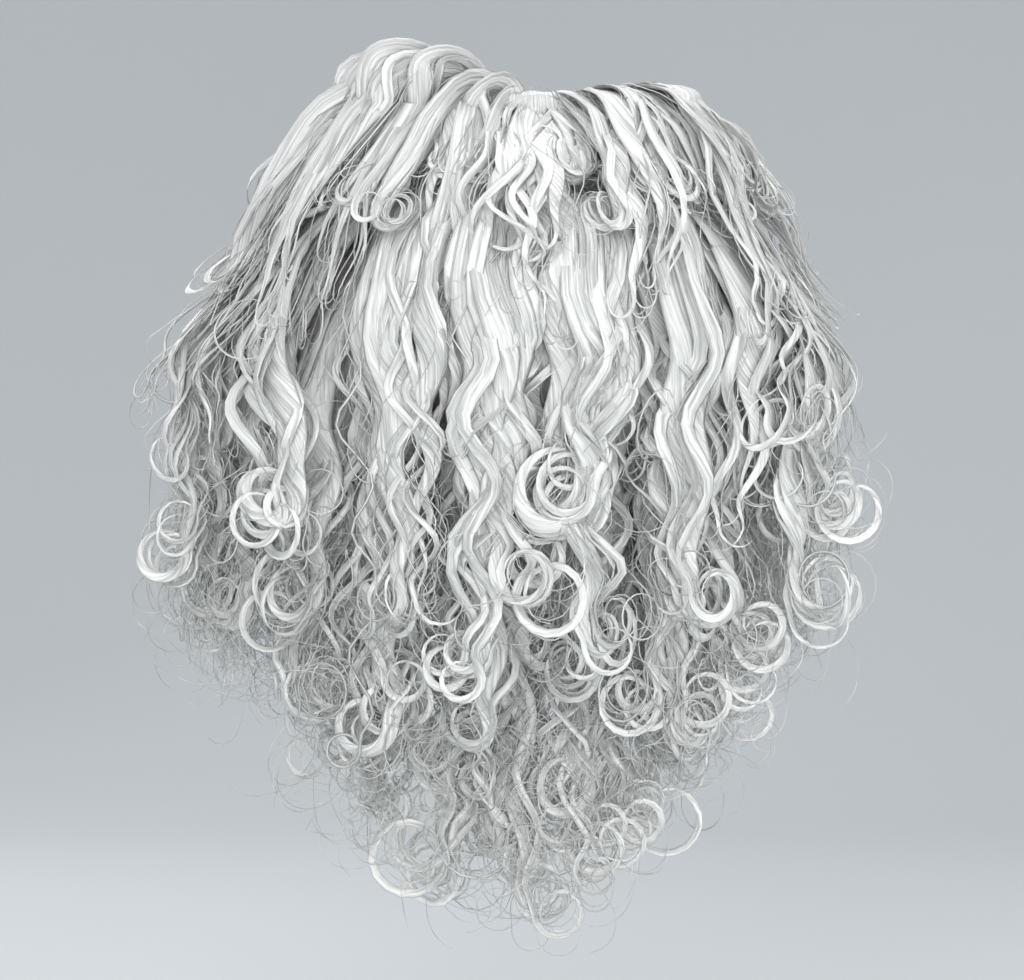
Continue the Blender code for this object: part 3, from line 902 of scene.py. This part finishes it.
# Side and height round the mouth slot, once round.
def mouthLine(count):
    turn = np.linspace(0, math.tau, count)
    reach = (facePiece["mouthWidth"] / 2 + facePiece["mouthMargin"]) * np.cos(turn)
    rise = (facePiece["mouthHeight"] / 2 + facePiece["mouthMargin"]) * np.sin(turn)
    side = np.arcsin(reach / form["faceHalfWidth"]) / form["faceArc"]
    return side, rise - facePiece["mouthDrop"]


def placeOnCloth(side, height, depth):
    outward = outwardUnit(side, height)
    return innerSurface(side, height) + outward * depth, outward


# Running stitches at the given places, laid along the line that they make.
def stitchBatch(side, height, depth):
    points, outward = placeOnCloth(side, height, depth)
    along = unit(np.gradient(points, axis=0))
    share = np.linspace(-1, 1, 5)
    bow = (1 - share ** 2) * stitch["bow"]
    paths = (points[:, None, :] + along[:, None, :] * (share * stitch["length"] / 2)[None, :, None]
             + outward[:, None, :] * bow[None, :, None])
    normals = np.repeat(outward[:, None, :], len(share), 1)
    return sweep(paths, normals, stitch["thick"], stitch["thick"], roundProfile(4))


rng = np.random.RandomState(31)
face = addFacePiece()
finish(face, clothMaterial, "face_piece")
sides, heights = edgeLine(stitch["edgePlaces"])
middle = form["cloth"] / 2
edgePoints, edgeOut = placeOnCloth(sides, heights, middle)
mouthPoints, mouthOut = placeOnCloth(*mouthLine(stitch["mouthPlaces"]), middle)
binding = tubeMesh("edgeBinding", [
    sweep(edgePoints[None], edgeOut[None], facePiece["bindingWidth"], facePiece["bindingThick"], bandProfile),
    sweep(mouthPoints[None], mouthOut[None], facePiece["mouthBinding"], facePiece["bindingThick"],
          bandProfile),
], rng)
finish(binding, clothMaterial)
stitches = [stitchBatch(sides[::2], heights[::2], stitch["edgeDepth"])]
for tier in tiers.values():
    side = np.linspace(-tier["span"], tier["span"], stitch["inRow"])
    for shift in (-stitch["rowShift"], stitch["rowShift"]):
        stitches.append(stitchBatch(side, weftLine(tier, side) + shift, stitch["weftDepth"]))
threads = tubeMesh("sewingThread", stitches, rng)
finish(threads, clothMaterial)

# Elastic strap, sewn inside the two ends of the face piece
strap = {
    "width": 0.014, "thick": 0.0012, "lap": 0.018, "height": -0.004, "back": 0.192,
    "cords": 6, "cordRise": 0.20, "edgeRise": 0.35, "lapPlaces": 14, "backPlaces": 110,
}


# Band with a low rib over each covered rubber cord.
def strapProfile():
    steps = strap["cords"] * 4
    across = np.linspace(-1, 1, steps + 1)
    cords = np.abs(np.sin(across * math.pi * strap["cords"] / 2))
    rise = mix(1 - strap["cordRise"], 1.0, cords)
    rise[[0, -1]] = strap["edgeRise"]
    return np.concatenate([np.stack([across, -rise], -1), np.stack([across[::-1], rise], -1)])


# The strap's middle line: a lap inside the cloth, half an ellipse behind, and a lap again.
def strapLine():
    height = np.array(strap["height"])
    ends = innerSurface(np.array(1.005), height) - innerSurface(np.array(0.995), height)
    lapShare = strap["lap"] / (np.linalg.norm(ends) / 0.01)
    lift = form["gap"] + strap["thick"] / 2
    lap = np.linspace(0, 1, strap["lapPlaces"])
    lapHeight = np.full(lap.shape, strap["height"])
    right, rightOut = placeOnCloth(1 - lapShare * (1 - lap), lapHeight, -lift)
    turn = np.linspace(0, math.pi, strap["backPlaces"])[1:-1]
    corner = right[-1]
    reach = strap["back"] - strap["thick"] / 2 - corner[1]
    back = np.stack([corner[0] * np.cos(turn), corner[1] + reach * np.sin(turn),
                     np.full(turn.shape, strap["height"])], -1)
    along = unit(np.gradient(back, axis=0))
    backOut = np.stack([along[:, 1], -along[:, 0], 0 * turn], -1)
    flip = np.array([-1, 1, 1])
    points = np.concatenate([right, back, (right * flip)[::-1]])
    return points, np.concatenate([rightOut, backOut, (rightOut * flip)[::-1]])


points, outward = strapLine()
band = sweep(points[None], outward[None], strap["width"], strap["thick"], strapProfile())
strapPiece = tubeMesh("elasticStrap", [band], rng)
finish(strapPiece, elasticMaterial, "elastic_strap")
print("face piece and strap made")

# Stage, light and camera
stage = {"floor": -0.56, "wall": 2.8, "bend": 1.4, "reach": 4.0, "steps": 25, "colour": "#CDD1D4",
         "air": (0.90, 0.91, 0.92, 1), "airStrength": 0.76}
lamps = {  # place, aim, size in metres, power in watts
    "keyLight": ((-0.35, -1.3, 0.75), (0, 0, -0.18), 0.6, 7),
    "fillLight": ((1.3, -1.1, 0.1), (0, 0, -0.2), 1.0, 4),
    "frontLight": ((0.15, -1.7, -0.50), (0, 0, -0.33), 0.6, 11.5),
    "topLight": ((0.2, 0.1, 1.2), (0, 0, -0.1), 0.7, 9),
    "rimLight": ((-1.0, 1.1, 0.5), (0, 0, -0.2), 0.8, 5),
}
view = {"distance": 1.53, "plane": -0.03, "centreX": -0.004, "centreZ": -0.209, "widthShown": 0.543}


# One roll of paper: the floor, a wide bend and the wall behind.
def addStage():
    bpy.ops.object.select_all(action="DESELECT")
    bpy.ops.mesh.primitive_plane_add(size=1)
    paper = bpy.context.object
    paper.name = "studioPaper"
    turn = np.linspace(0, math.pi / 2, stage["steps"])
    bend, wall, reach = stage["bend"], stage["wall"], stage["reach"]
    across = np.concatenate([[-reach], wall - bend + bend * np.sin(turn), [wall]])
    up = np.concatenate([[0.0], bend * (1 - np.cos(turn)), [reach]]) + stage["floor"]
    corners = [(x, float(y), float(z)) for y, z in zip(across, up) for x in (-reach, reach)]
    faces = [(2 * i, 2 * i + 1, 2 * i + 3, 2 * i + 2) for i in range(len(up) - 1)]
    paper.data.clear_geometry()
    paper.data.from_pydata(corners, [], faces)
    paper.data.shade_smooth()
    material, _, shader = newMaterial("studio_paper_grey", 0.9, 1.5)
    shader.inputs["Base Color"].default_value = srgb(stage["colour"])
    paper.data.materials.append(material)


def addLamps():
    for name, (place, aim, size, power) in lamps.items():
        light = bpy.data.lights.new(name, "AREA")
        light.size = size
        light.energy = power
        lamp = bpy.data.objects.new(name, light)
        bpy.context.scene.collection.objects.link(lamp)
        lamp.location = place
        lamp.rotation_euler = (Vector(aim) - Vector(place)).to_track_quat("-Z", "Y").to_euler()
    world = bpy.data.worlds.new("studio")
    bpy.context.scene.world = world
    world.use_nodes = True
    air = world.node_tree.nodes["Background"]
    air.inputs["Color"].default_value = stage["air"]
    air.inputs["Strength"].default_value = stage["airStrength"]


def addCamera():
    lens = bpy.data.cameras.new("camera")
    holder = bpy.data.objects.new("camera", lens)
    bpy.context.scene.collection.objects.link(holder)
    holder.location = (view["centreX"], view["plane"] - view["distance"], view["centreZ"])
    holder.rotation_euler = (math.pi / 2, 0, 0)
    lens.sensor_width = 36.0
    lens.lens = lens.sensor_width * view["distance"] / view["widthShown"]
    bpy.context.scene.camera = holder


bpy.context.scene.view_settings.view_transform = "Standard"
addStage()
addLamps()
addCamera()
